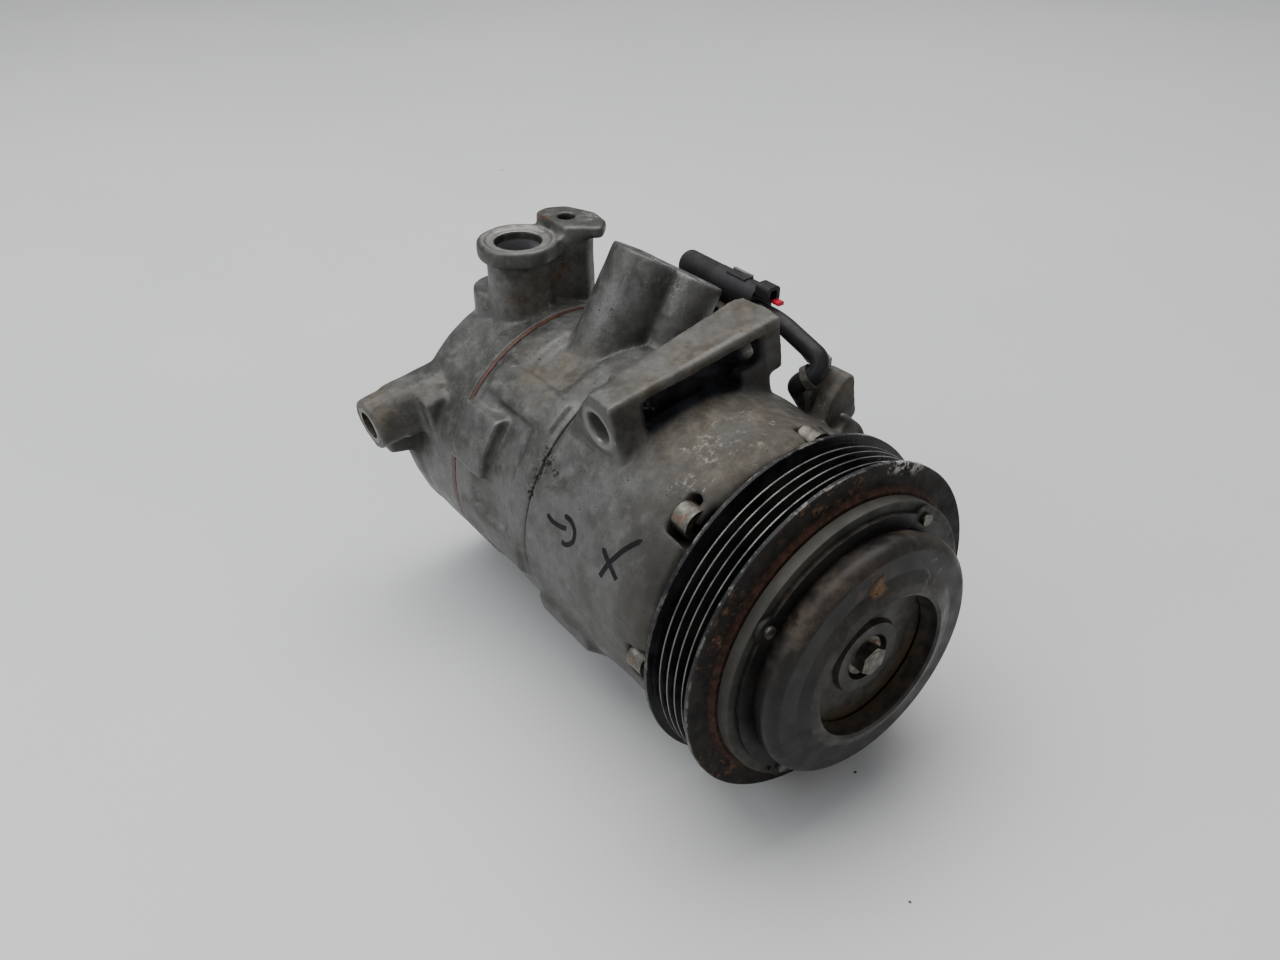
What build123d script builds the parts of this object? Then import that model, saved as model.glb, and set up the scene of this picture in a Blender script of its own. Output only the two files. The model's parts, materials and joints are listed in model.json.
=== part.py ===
from build123d import *
from math import cos, pi, radians, sin, tan
import os

# Automotive air-conditioning compressor with a magnetic clutch, in millimetres.
# The shaft runs along Y with the drive end towards -Y. +Z is up and square to the suction port's face.
# The origin is on the shaft axis, in the middle plane of the belt grooves.
# The mounting bolts and the through bolts stand in a frame (U, Y, W) that is turned about the shaft.

# ---- driving dimensions ----
TURN = 10.0  # the bolt frame's turn about the shaft, degrees
U = Vector(cos(radians(TURN)), 0, sin(radians(TURN)))
W = Vector(-sin(radians(TURN)), 0, cos(radians(TURN)))
FIT = 0.05  # radial running clearance of shafts and pistons

GROOVES = 5
GROOVE_PITCH = 3.56
GROOVE_DEPTH = 3.0
RIM_R = 60.1
RIDGE_R = 57.95
RIM_IN_R = 48.0
PULLEY_REAR = 11.0
PULLEY_FRONT = -10.7
FRICTION_Y = -12.5
AIR_GAP = 0.5

BEARING_R = (17.5, 20.3, 25.7, 27.5)  # bore, inner ring, outer ring's bore, outside
BEARING_W = 20.0
BEARING_FRONT = -9.0

SHAFT_R = 8.0
NOSE_FRONT = -11.3
HOUSING_FRONT = 15.0
WALL_Y = 28.0  # inner face of the housing's front wall
SEAM_Y = 86.5  # joint between housing and cylinder block
BLOCK_REAR = 136.2
GASKET_T = 1.7
HEAD_FRONT = BLOCK_REAR + GASKET_T
HEAD_REAR = 177.0
BODY_R = 55.5
CHAMBER_R = 44.5

BOLTS = 6
BOLT_PITCH_R = 50.5
BOLT_R = 3.0
BOLT_SEAT = 26.5
DOWEL_R = 2.0

CYLINDERS = 6
PISTON_PITCH_R = 31.0
PISTON_R = 13.5
PLATE_Y = 64.0  # middle of the wobble plate
PLATE_T = 10.0

LUG_HOLE_R = 5.6  # clearance for the mounting bolts
STUD_HOLE_R = 3.4  # tapping drill of the pipe studs
LOWER_HOLE_R = 4.25  # tapping drill of the lower mounting bolt
LOWER_DEPTH = 30.0
EAR_DEPTH = 12.0
EAR_PLACE = (45, 32)
BAR_Y = 64.4
BAR_W = 58.7
OIL_PLACE = (8, 72)

PORT_X = -10.0
PORT_Y = 155.0
PORT_Z = 81.0
PORT_R = 8.9

TOWER_TILT = 31.0  # lean of the discharge boss from +Z towards +X, degrees
TOWER_D = 79.5
TOWER_N = Vector(sin(radians(TOWER_TILT)), 0, cos(radians(TOWER_TILT)))

PLUG_X = 45.0
PLUG_Z = 68.8
PLUG_R = 5.3
BRACKET_X = 35.5
LEAD_R = 3.5
FLOOR_Z = -60.1


# ---- planes ----
def across(y):
    """Square to the shaft, facing the drive end, with U and W as its axes."""
    return Plane(origin=(0, y, 0), x_dir=U, z_dir=(0, -1, 0))


def along(u):
    """Square to the mounting bolts, with Y and W as its axes."""
    return Plane(origin=U * u, x_dir=(0, 1, 0), z_dir=U)


def deck(w):
    """Facing up in the bolt frame, with U and Y as its axes."""
    return Plane(origin=W * w, x_dir=U, z_dir=W)


def tower_face(depth=0.0):
    """The discharge boss's face, with Y as its first axis."""
    return Plane(origin=TOWER_N * (TOWER_D - depth), x_dir=(0, 1, 0), z_dir=TOWER_N)


def side(x):
    """Facing +X, with Y and Z as its axes."""
    return Plane(origin=(x, 0, 0), x_dir=(0, 1, 0), z_dir=(1, 0, 0))


def polar(radius, angle):
    return (radius * cos(radians(angle)), radius * sin(radians(angle)))


def ring_angles(count, first=0.0):
    return [first + 360.0 * k / count for k in range(count)]


# ---- shapes that repeat, used inside a BuildPart block ----
def disc(plane, radius, depth, at=(0, 0), mode=Mode.ADD):
    with BuildSketch(plane) as face:
        with Locations(at):
            Circle(radius)
    extrude(face.sketch, amount=depth, mode=mode)


def discs(plane, radius, depth, places, mode=Mode.ADD):
    with BuildSketch(plane) as face:
        with Locations(*places):
            Circle(radius)
    extrude(face.sketch, amount=depth, mode=mode)


def ring(plane, inner, outer, depth, mode=Mode.ADD):
    with BuildSketch(plane) as face:
        Circle(outer)
        Circle(inner, mode=Mode.SUBTRACT)
    extrude(face.sketch, amount=depth, mode=mode)


def slab(plane, points, depth, corner=0.0, mode=Mode.ADD):
    with BuildSketch(plane) as face:
        with BuildLine():
            Polyline(*points, close=True)
        make_face()
        if corner:
            fillet(face.vertices(), corner)
    extrude(face.sketch, amount=depth, mode=mode)


def block(plane, low, high, depth, corner=0.0, mode=Mode.ADD):
    slab(plane, [low, (high[0], low[1]), high, (low[0], high[1])], depth, corner, mode)


def turned(points, mode=Mode.ADD):
    """A profile of (radius, y) points turned about the shaft."""
    with BuildSketch(Plane.XY) as face:
        with BuildLine():
            Polyline(*points, close=True)
        make_face()
    revolve(face.sketch, axis=Axis.Y, mode=mode)


def save(piece, name):
    piece.part.label = name
    export_step(piece.part, f"parts/{name}.step")


os.makedirs("parts", exist_ok=True)
bolt_places = [polar(BOLT_PITCH_R, a) for a in ring_angles(BOLTS)]
cylinder_angles = ring_angles(CYLINDERS, 30.0)
cylinder_places = [polar(PISTON_PITCH_R, a) for a in cylinder_angles]

dowel_places = [polar(BOLT_PITCH_R, a) for a in ring_angles(2, 30.0)]

# ---- castings ----
with BuildPart() as front_housing:
    turned([
        (0, HOUSING_FRONT),
        (49, HOUSING_FRONT),
        (53.5, 17.5),
        (55, 22),
        (55, 46.6),
        (BODY_R, 47.4),
        (BODY_R, SEAM_Y - 0.6),
        (BODY_R - 0.7, SEAM_Y),
        (0, SEAM_Y),
    ])
    # nose that carries the pulley bearing
    disc(across(HOUSING_FRONT + 1), BEARING_R[0], HOUSING_FRONT + 1 - NOSE_FRONT)
    disc(across(HOUSING_FRONT + 1), 21.0, 5.0)
    # upper mounting bar: two legs under one deck, with an open pocket between them
    slab(deck(71), [(-28.3, 55.2), (42.6, 53.5), (43.3, 64), (39.5, 74.5), (-28.3, 68)], -4.6)
    slab(along(-28.3), [(55, 70.5), (67.5, 70.5), (72, 65.5), (SEAM_Y, 46), (SEAM_Y, 25), (55, 25)], 13.3)
    slab(along(33), [(54.2, 70.5), (74, 70.5), (74, 49.5), (54.2, 49.5)], 9.8)
    slab(along(24), [(54.2, 58), (75, 58), (75, 30), (54.2, 30)], 13)
    slab(along(-16), [(68, 70), (72.5, 69.5), (80, 58), (80, 45), (68, 45)], 50)
    # upper right ear and its rib
    ear_top = [(40, 22), (48.6, 36), (50, 38.8), (58.5, 44.5), (62, 43)]
    slab(across(50.5), ear_top + [(62, 26.5), (58.5, 24.5), (46, 10)], 11.5)
    slab(across(33.5), [(38, 26), (50.5, 36), (54.5, 30), (57.5, 22), (58.0, 14), (50, 6)], 3.2)
    slab(across(47), [(44, 27), (57.5, 27.5), (57.5, 24), (44, 16)], 15)
    # lower right mounting sleeve with its web
    disc(along(25), 8.4, 34, at=(BAR_Y, -50.9))
    slab(along(25), [(52, -20), (76, -20), (72, -48), (57, -48)], 24)
    slab(along(47), [(57, -30), (72, -30), (71, -46), (58, -46)], 10)
    # left lower stiffening rib
    slab(across(84), [(-50, -12), (-55.9, -12), (-55.6, -20), (-45, -34), (-40, -34)], 30)
    # seat of the oil plug
    disc(deck(-55.8), 8.0, 9, at=OIL_PLACE)
    # inside
    disc(across(SEAM_Y), CHAMBER_R, SEAM_Y - WALL_Y, mode=Mode.SUBTRACT)
    disc(across(WALL_Y + 1), 12.5, 11.0, mode=Mode.SUBTRACT)
    disc(across(18.5), 13.0, 30.0, mode=Mode.SUBTRACT)
    ring(across(-4.9), 12.0, 14.2, 1.3, mode=Mode.SUBTRACT)
    # grooves of the snap rings that hold the pulley bearing and the coil
    ring(across(BEARING_FRONT), 15.4, 17.6, 1.1, mode=Mode.SUBTRACT)
    ring(across(12.65), 18.8, 21.1, 1.1, mode=Mode.SUBTRACT)
    # open recesses for the through-bolt heads, and their holes
    discs(across(BOLT_SEAT), 8.2, 14, bolt_places, mode=Mode.SUBTRACT)
    discs(across(SEAM_Y), BOLT_R + 0.3, SEAM_Y - BOLT_SEAT + 1, bolt_places, mode=Mode.SUBTRACT)
    # mounting holes
    disc(along(-30), LUG_HOLE_R, 75, at=(BAR_Y, BAR_W), mode=Mode.SUBTRACT)
    disc(along(59), LOWER_HOLE_R, -LOWER_DEPTH, at=(BAR_Y, -50.9), mode=Mode.SUBTRACT)
    disc(along(62), STUD_HOLE_R, -EAR_DEPTH, at=EAR_PLACE, mode=Mode.SUBTRACT)
    disc(deck(-56), 5.0, 16, at=OIL_PLACE, mode=Mode.SUBTRACT)
    # pocket under the bar
    block(across(68.5), (-15, 57), (33, 66.4), 20, corner=2.5, mode=Mode.SUBTRACT)
    # notch for the coil's terminal, and the groove of the housing seal
    block(across(21), (38, -31.8), (60, -21.8), 7, mode=Mode.SUBTRACT)
    ring(across(SEAM_Y), 45.4, 47.0, 1.4, mode=Mode.SUBTRACT)
    chamfer(front_housing.edges().filter_by(GeomType.CIRCLE).filter_by(
        lambda e: abs(e.radius - LUG_HOLE_R) < 0.01 and e.length > 30
    ), 0.7)
save(front_housing, "front_housing")

with BuildPart() as cylinder_block:
    front = SEAM_Y + 0.1
    turned([
        (0, front),
        (BODY_R - 0.9, front),
        (BODY_R - 0.2, front + 0.7),
        (BODY_R - 0.2, 98),
        (53.4, 101),
        (53.4, 120),
        (BODY_R, 123.5),
        (BODY_R, BLOCK_REAR),
        (0, BLOCK_REAR),
    ])
    # discharge boss: a port lobe and a stud lobe side by side
    disc(tower_face(), 13.8, -45, at=(112.2, 25.6))
    disc(tower_face(), 10.0, -45, at=(97.8, 12.5))
    slab(tower_face(), [(104, 14), (119, 17), (106, 5), (98, 3)], -43)
    # raised pads over the bolts, and the left locating boss
    for a in ring_angles(BOLTS):
        with BuildSketch(across(BLOCK_REAR - 4)) as pad:
            with Locations(Location((0, 0, 0), a)):
                with Locations((51.0, 0)):
                    RectangleRounded(12.0, 15.0, 3.0)
        extrude(pad.sketch, amount=42)
    slab(across(BLOCK_REAR), [(-36, 40.5), (-41, 41.5), (-50, 31), (-53.5, 23), (-50, 20), (-30, 30)], 22)
    # boss of the connector's bracket on the discharge boss's flank
    disc(side(BRACKET_X), 4.6, -12, at=(97, 56.5))
    disc(side(BRACKET_X), 2.0, -8, at=(97, 56.5), mode=Mode.SUBTRACT)
    # feet
    for s in (-1, 1):
        slab(Plane.XZ.offset(-124), [(s * 25, FLOOR_Z), (s * 11, FLOOR_Z), (s * 8, -48), (s * 28, -44)], 20)
    # bores
    discs(across(BLOCK_REAR), PISTON_R, BLOCK_REAR - front, cylinder_places, mode=Mode.SUBTRACT)
    discs(across(BLOCK_REAR), BOLT_R + 0.3, BLOCK_REAR - front, bolt_places, mode=Mode.SUBTRACT)
    discs(across(BLOCK_REAR), DOWEL_R, 7, dowel_places, mode=Mode.SUBTRACT)
    disc(across(107), 12.5, 107 - front, mode=Mode.SUBTRACT)
    disc(across(118), 9.0, 12, mode=Mode.SUBTRACT)
    # discharge port and stud hole
    disc(tower_face(), 7.0, -16, at=(112.2, 25.6), mode=Mode.SUBTRACT)
    disc(tower_face(), STUD_HOLE_R, -18, at=(97.8, 12.5), mode=Mode.SUBTRACT)
save(cylinder_block, "cylinder_block")

with BuildPart() as rear_head:
    turned([
        (0, HEAD_FRONT),
        (BODY_R, HEAD_FRONT),
        (BODY_R, 158),
        (55.2, 166),
        (53.6, 172),
        (50.5, 175.6),
        (44, HEAD_REAR),
        (0, HEAD_REAR),
    ])
    # suction neck and its flange ring
    disc(Plane.XY.offset(20), 12.4, 56, at=(PORT_X, PORT_Y))
    disc(Plane.XY.offset(74.5), 15.6, PORT_Z - 74.5, at=(PORT_X, PORT_Y))
    # clamp pad with its neck, standing higher than the ring
    pad_outline = [(4.4, 145), (4.4, 166), (10, 168), (18, 164.5), (23.5, 152), (21.5, 142), (15.5, 136)]
    neck_outline = [(0, 146), (0, 164), (10, 165), (15, 162), (19, 152), (17, 144), (12, 141)]
    slab(Plane.XY.offset(80.2), pad_outline, 4.8, corner=2.4)
    slab(Plane.XY.offset(25), neck_outline, 56, corner=2.0)
    # muffler dome behind the neck
    disc(Plane.XY.offset(20), 12.5, 40, at=(-12, 163.5))
    # rear left mounting lug
    disc(along(-70.5), 10.4, 50, at=(166.2, 30))
    slab(along(-60), [(156.5, 22), (156.5, 38), (161, 41), (172, 40), (175, 34), (175, 22)], 42, corner=1.5)
    slab(along(-52), [(150, 5), (150, 36), (160, 41), (172, 38), (172, 5)], 30, corner=1.5)
    # web from the lug down to the head
    slab(across(175), [(-66, 24), (-66, 13), (-57, 9), (-56, -4), (-53, -18), (-46, -22), (-40, 24)], 9)
    # control valve housing across the back
    disc(across(181), 13.0, 24, at=(0, -26))
    # recess for the valve plates, then the discharge and suction chambers
    disc(across(HEAD_FRONT + 5.0), 46.2, 6.0, mode=Mode.SUBTRACT)
    ring(across(166), 22.0, 43.5, 24, mode=Mode.SUBTRACT)
    disc(across(164), 18.0, 22, mode=Mode.SUBTRACT)
    discs(across(166), BOLT_R, 30, bolt_places, mode=Mode.SUBTRACT)
    discs(across(145), DOWEL_R, 8, dowel_places, mode=Mode.SUBTRACT)
    # suction port with its seal seat
    disc(Plane.XY.offset(PORT_Z), PORT_R, -42, at=(PORT_X, PORT_Y), mode=Mode.SUBTRACT)
    disc(Plane.XY.offset(PORT_Z), 12.5, -0.9, at=(PORT_X, PORT_Y), mode=Mode.SUBTRACT)
    disc(Plane.XY.offset(85), STUD_HOLE_R, -20, at=(11.5, 154.5), mode=Mode.SUBTRACT)
    # lug bore with the seat of its bush, valve bores
    disc(along(-70.5), LUG_HOLE_R, 26, at=(166.2, 30), mode=Mode.SUBTRACT)
    disc(along(-70.5), 7.8, 12, at=(166.2, 30), mode=Mode.SUBTRACT)
    disc(across(181), 9.0, 20, at=(0, -26), mode=Mode.SUBTRACT)
    disc(across(178.4), 10.0, 1.2, at=(0, -26), mode=Mode.SUBTRACT)
    disc(side(0), 5.0, 70, at=(160, -4), mode=Mode.SUBTRACT)
save(rear_head, "rear_head")

# ---- gasket, valve plates and seals ----
with BuildPart() as head_gasket:
    ring(across(HEAD_FRONT), 46.2, BODY_R - 0.1, GASKET_T)
    discs(across(HEAD_FRONT), BOLT_R + 0.3, GASKET_T, bolt_places, mode=Mode.SUBTRACT)
    discs(across(HEAD_FRONT), DOWEL_R, GASKET_T, dowel_places, mode=Mode.SUBTRACT)
save(head_gasket, "head_gasket")

inlet_places = [polar(38.5, a) for a in cylinder_angles]
outlet_places = [polar(23.0, a) for a in cylinder_angles]
plate_stack = [
    ("suction_reed", BLOCK_REAR, 0.4, 2.0, 3.4),
    ("valve_plate", BLOCK_REAR + 0.4, 4.0, 3.4, 3.0),
    ("discharge_reed", BLOCK_REAR + 4.4, 0.4, 3.8, 2.0),
]
for name, y, thick, inlet_r, outlet_r in plate_stack:
    with BuildPart() as plate:
        disc(across(y + thick), 45.6, thick)
        discs(across(y + thick), inlet_r, thick, inlet_places, mode=Mode.SUBTRACT)
        discs(across(y + thick), outlet_r, thick, outlet_places, mode=Mode.SUBTRACT)
    save(plate, name)

with BuildPart() as reed_retainer:
    disc(across(BLOCK_REAR + 6.2), 9.0, 1.4)
    for a in cylinder_angles:
        with BuildSketch(across(BLOCK_REAR + 6.2)) as finger:
            with Locations(Location((0, 0, 0), a)):
                with Locations((16.0, 0)):
                    SlotOverall(26.0, 7.0)
        extrude(finger.sketch, amount=1.4)
save(reed_retainer, "reed_retainer")

with BuildPart() as housing_seal:
    ring(across(SEAM_Y), 45.5, 46.9, 1.3)
save(housing_seal, "housing_seal")

with BuildPart() as shaft_seal:
    turned([(7.56, -3), (13, -3), (13, 5), (11, 5), (11, -0.5), (9, -0.5), (9, 3), (7.56, 3)])
save(shaft_seal, "shaft_seal")

with BuildPart() as seal_snap_ring:
    ring(across(-5.0), 10.8, 14.1, 1.1)
    block(across(-5.0), (-2.5, 10), (2.5, 15), 1.1, mode=Mode.SUBTRACT)
save(seal_snap_ring, "seal_snap_ring")

# ---- fasteners of the body ----
with BuildPart() as through_bolts:
    discs(across(165), BOLT_R, 165 - BOLT_SEAT, bolt_places)
    discs(across(BOLT_SEAT), 5.2, 7.2, bolt_places)
    with BuildSketch(across(BOLT_SEAT - 7.2)) as sockets:
        with Locations(*bolt_places):
            RegularPolygon(2.9, 6)
    extrude(sockets.sketch, amount=-3.6, mode=Mode.SUBTRACT)
save(through_bolts, "through_bolts")

with BuildPart() as dowel_pins:
    discs(across(144.8), DOWEL_R, 15.4, dowel_places)
save(dowel_pins, "dowel_pins")

with BuildPart() as oil_plug:
    disc(deck(-55.8), 4.95, 8.5, at=OIL_PLACE)
    with BuildSketch(deck(-55.8)) as plug_head:
        with Locations(OIL_PLACE):
            RegularPolygon(7.0, 6)
    extrude(plug_head.sketch, amount=-3.2)
save(oil_plug, "oil_plug")

with BuildPart() as rear_lug_bush:
    ring(along(-70.3), LUG_HOLE_R, 7.8, 11.8)
rear_lug_bush.part.position = Vector(0, 166.2, 0) + W * 30
save(rear_lug_bush, "rear_lug_bush")

with BuildPart() as control_valve:
    disc(across(177), 8.9, 15.5, at=(0, -26))
    disc(across(179.3), 6.4, 3, at=(0, -26))
    disc(across(162), 6.0, 0.9, at=(0, -26))
save(control_valve, "control_valve")

with BuildPart() as control_valve_ring:
    with BuildSketch(across(178.3)) as circlip:
        with Locations((0, -26)):
            Circle(9.9)
            Circle(7.6, mode=Mode.SUBTRACT)
        with Locations((0, -17)):
            Rectangle(4, 4, mode=Mode.SUBTRACT)
    extrude(circlip.sketch, amount=1.0)
save(control_valve_ring, "control_valve_ring")

with BuildPart() as relief_valve:
    disc(side(43), 4.9, 13.2, at=(160, -4))
    with BuildSketch(side(56.0)) as hexagon:
        with Locations((160, -4)):
            RegularPolygon(8.0, 6)
    extrude(hexagon.sketch, amount=5.5)
    disc(side(61.2), 5.2, 3.8, at=(160, -4))
    disc(side(65), 2.0, -5, at=(160, -4), mode=Mode.SUBTRACT)
save(relief_valve, "relief_valve")

# ---- shaft bearings and the wobble drive ----
with BuildPart() as front_shaft_bearing:
    ring(across(WALL_Y), SHAFT_R + FIT, 12.5, 9.0)
save(front_shaft_bearing, "front_shaft_bearing")

with BuildPart() as rear_shaft_bearing:
    ring(across(106), SHAFT_R + FIT, 12.5, 16)
save(rear_shaft_bearing, "rear_shaft_bearing")

with BuildPart() as thrust_bearing:
    ring(across(32.9), 13.0, 25.0, 4.9)
    discs(across(32.9), 1.2, 1.0, [polar(19.0, a) for a in ring_angles(18)], mode=Mode.SUBTRACT)
save(thrust_bearing, "thrust_bearing")

with BuildPart() as guide_pin:
    disc(across(SEAM_Y), 2.5, SEAM_Y - WALL_Y, at=(36, 0))
save(guide_pin, "guide_pin")

with BuildPart() as shaft:
    turned([
        (0, -22.2),
        (6, -22.2),
        (6, -11),
        (7.5, -11),
        (7.5, 17),
        (SHAFT_R, 17.5),
        (SHAFT_R, 112),
        (7, 113),
        (0, 113),
    ])
    disc(across(-8), 2.5, 20, mode=Mode.SUBTRACT)
save(shaft, "shaft")

with BuildPart() as drive_plate:
    ring(across(42), SHAFT_R, 30, 9.0)
    slab(across(50), [(-6, 20), (-6, 29), (6, 29), (6, 20)], 10)
    slab(across(42), [(-30, -18), (30, -18), (30, -31), (-30, -31)], 9, mode=Mode.SUBTRACT)
save(drive_plate, "drive_plate")

with BuildPart() as tilt_ball:
    turned([(SHAFT_R, PLATE_Y - 7), (14, PLATE_Y - 7), (14, PLATE_Y + 7), (SHAFT_R, PLATE_Y + 7)])
    with BuildSketch(Plane.XY) as cap:
        with Locations((0, PLATE_Y)):
            Circle(15.4)
            Rectangle(16, 40, align=(Align.MAX, Align.CENTER), mode=Mode.SUBTRACT)
        with Locations((0, PLATE_Y)):
            Rectangle(40, 14, mode=Mode.INTERSECT)
        Rectangle(SHAFT_R, 300, align=(Align.MIN, Align.CENTER), mode=Mode.SUBTRACT)
    revolve(cap.sketch, axis=Axis.Y)
save(tilt_ball, "tilt_ball")

with BuildPart() as wobble_plate:
    disc(across(PLATE_Y + PLATE_T / 2), 40, PLATE_T)
    with Locations((0, PLATE_Y, 0)):
        Sphere(15.8, mode=Mode.SUBTRACT)
    socket_places = [(Vector(0, PLATE_Y, 0) + U * x + W * z) for x, z in cylinder_places]
    with Locations(*socket_places):
        Sphere(5.5, mode=Mode.SUBTRACT)
    discs(across(PLATE_Y + 3), 4.5, -3, cylinder_places, mode=Mode.SUBTRACT)
    block(across(PLATE_Y + PLATE_T / 2), (31, -4), (42, 4), PLATE_T, mode=Mode.SUBTRACT)
save(wobble_plate, "wobble_plate")

for number, place in enumerate(cylinder_places, start=1):
    with BuildPart() as piston:
        disc(across(124), PISTON_R - FIT, 20, at=place)
        disc(across(118), PISTON_R - 2.5, 14, at=place, mode=Mode.SUBTRACT)
        disc(across(119), 2.4, 119 - PLATE_Y, at=place)
        with Locations(Vector(0, PLATE_Y, 0) + U * place[0] + W * place[1]):
            Sphere(4.6)
        with BuildSketch(across(121.5)) as groove:
            with Locations(place):
                Circle(PISTON_R + 1)
                Circle(PISTON_R - 1.2, mode=Mode.SUBTRACT)
        extrude(groove.sketch, amount=1.5, mode=Mode.SUBTRACT)
    save(piston, f"piston_{number}")

# ---- clutch coil ----
coil_front = -6.0
with BuildPart() as coil_shell:
    turned([
        (30.8, coil_front),
        (33.5, coil_front),
        (33.5, 9.0),
        (44.3, 9.0),
        (44.3, coil_front),
        (47.0, coil_front),
        (47.0, 12.8),
        (45.5, 14.9),
        (21.3, 14.9),
        (21.3, 12.8),
        (30.8, 12.8),
    ])
save(coil_shell, "coil_shell")

with BuildPart() as coil_winding:
    ring(across(9.0), 33.5, 44.3, 9.0 - coil_front - 1.0)
save(coil_winding, "coil_winding")

with BuildPart() as coil_snap_ring:
    ring(across(12.6), 19.0, 23.5, 0.9)
    block(across(12.6), (-2.2, 17), (2.2, 24), 0.9, mode=Mode.SUBTRACT)
save(coil_snap_ring, "coil_snap_ring")

with BuildPart() as coil_terminal:
    block(across(20.5), (38.5, -31.3), (56.6, -22.3), 5.4, corner=1.2)
save(coil_terminal, "coil_terminal")

# ---- pulley and its bearing ----
grooved = GROOVES * GROOVE_PITCH / 2
groove_r = RIDGE_R - GROOVE_DEPTH
with BuildPart() as pulley:
    turned([
        (27.5, PULLEY_REAR),
        (30, PULLEY_REAR),
        (30, -7.6),
        (RIM_IN_R, -7.6),
        (RIM_IN_R, PULLEY_REAR),
        (RIM_R - 0.6, PULLEY_REAR),
        (RIM_R, PULLEY_REAR - 0.6),
        (RIM_R, PULLEY_FRONT + 0.3),
        (RIM_R - 0.4, PULLEY_FRONT),
        (52.5, PULLEY_FRONT - 0.3),
        (51.2, FRICTION_Y),
        (27.5, FRICTION_Y),
    ])
    with BuildSketch(Plane.XY) as vees:
        for k in range(GROOVES):
            y = (k - (GROOVES - 1) / 2) * GROOVE_PITCH
            top = GROOVE_PITCH / 2 - 0.22
            with BuildLine():
                Polyline(
                    (groove_r, y - 0.55),
                    (RIDGE_R, y - top),
                    (RIM_R + 1, y - top - (0.6 if k == 0 else 0)),
                    (RIM_R + 1, y + top + (0.6 if k == GROOVES - 1 else 0)),
                    (RIDGE_R, y + top),
                    (groove_r, y + 0.55),
                    close=True,
                )
            make_face()
    revolve(vees.sketch, axis=Axis.Y, mode=Mode.SUBTRACT)
    ring(across(grooved - 1.2), RIDGE_R, RIM_R + 1, 2 * grooved - 2.4, mode=Mode.SUBTRACT)
    # magnetic break slots through the web
    for a in ring_angles(6):
        with BuildSketch(across(-7)) as slot:
            SlotArc(CenterArc((0, 0), 39.0, a, 44.0), 2.6)
        extrude(slot.sketch, amount=8, mode=Mode.SUBTRACT)
save(pulley, "pulley")

rear_of_bearing = BEARING_FRONT + BEARING_W
with BuildPart() as bearing_inner_ring:
    ring(across(rear_of_bearing), BEARING_R[0], BEARING_R[1], BEARING_W)
save(bearing_inner_ring, "bearing_inner_ring")

with BuildPart() as bearing_outer_ring:
    ring(across(rear_of_bearing), BEARING_R[2], BEARING_R[3], BEARING_W)
save(bearing_outer_ring, "bearing_outer_ring")

with BuildPart() as bearing_balls:
    for y in (-3.4, 5.4):
        spots = [Vector(x, y, z) for x, z in [polar(23.0, a) for a in ring_angles(14)]]
        with Locations(*spots):
            Sphere(2.6)
save(bearing_balls, "bearing_balls")

with BuildPart() as bearing_seals:
    ring(across(-7.9), BEARING_R[1] + 0.3, BEARING_R[2], 0.8)
    ring(across(10.7), BEARING_R[1] + 0.3, BEARING_R[2], 0.8)
save(bearing_seals, "bearing_seals")

with BuildPart() as bearing_snap_ring:
    ring(across(BEARING_FRONT - 0.02), 15.6, 19.5, 0.95)
save(bearing_snap_ring, "bearing_snap_ring")

# ---- driven side of the clutch ----
armature_rear = FRICTION_Y - AIR_GAP
LOBES = 4
lobe_angles = ring_angles(LOBES, 45.0)
with BuildPart() as armature_plate:
    ring(across(armature_rear), 25.0, 50.4, 4.0)
    for a in ring_angles(3, 15.0):
        with BuildSketch(across(armature_rear)) as slot:
            SlotArc(CenterArc((0, 0), 36.0, a, 90.0), 2.4)
        extrude(slot.sketch, amount=4, mode=Mode.SUBTRACT)
save(armature_plate, "armature_plate")

plate_y = armature_rear - 4.0
with BuildPart() as hub_plate:
    with BuildSketch(across(plate_y)) as outline:
        Circle(46.9)
        with Locations(*[polar(45.2, a) for a in lobe_angles]):
            Circle(4.8)
        Circle(27, mode=Mode.SUBTRACT)
    extrude(outline.sketch, amount=1.7)
save(hub_plate, "hub_plate")

with BuildPart() as armature_rivets:
    discs(across(plate_y - 1.7), 2.0, 1.2, [polar(46.0, a) for a in lobe_angles])
save(armature_rivets, "armature_rivets")

cover_rear = plate_y - 1.7
with BuildPart() as hub_cover:
    with BuildSketch(Plane.XY) as shell:
        with BuildLine():
            Polyline((40.4, cover_rear), (41.5, cover_rear), (42.1, -20.4))
            Spline((42.1, -20.4), (43.0, -24.4), (40.0, -28.5), tangents=((0.3, -1), (-1, -0.35)))
            Polyline((40.0, -28.5), (33.5, -29.1), (28.6, -31.0), (26.8, -31.5), (25.6, -30.9))
            Polyline((25.6, -30.9), (24.6, -25.0), (26.2, -25.0), (27.4, -29.2), (32.8, -27.2), (38.6, -26.6))
            Polyline((38.6, -26.6), (40.4, -24.4), (40.4, cover_rear))
        make_face()
    revolve(shell.sketch, axis=Axis.Y)
save(hub_cover, "hub_cover")

with BuildPart() as hub_rubber:
    outer_side = [(40.2, -19.2), (40.2, -24.0), (38.3, -26.3), (32.8, -27.0)]
    turned([(26.2, -19.2)] + outer_side + [(27.5, -28.9), (26.4, -25.0)])
save(hub_rubber, "hub_rubber")

with BuildPart() as hub_inner:
    turned([
        (6, -11.2),
        (10.5, -11.2),
        (10.5, -22.0),
        (24.3, -22.8),
        (26.0, -19.2),
        (26.0, -24.0),
        (24.2, -24.1),
        (13.4, -23.8),
        (12.6, -25.6),
        (8.4, -25.6),
        (7.9, -22.8),
        (6, -22.8),
    ])
save(hub_inner, "hub_inner")

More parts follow.
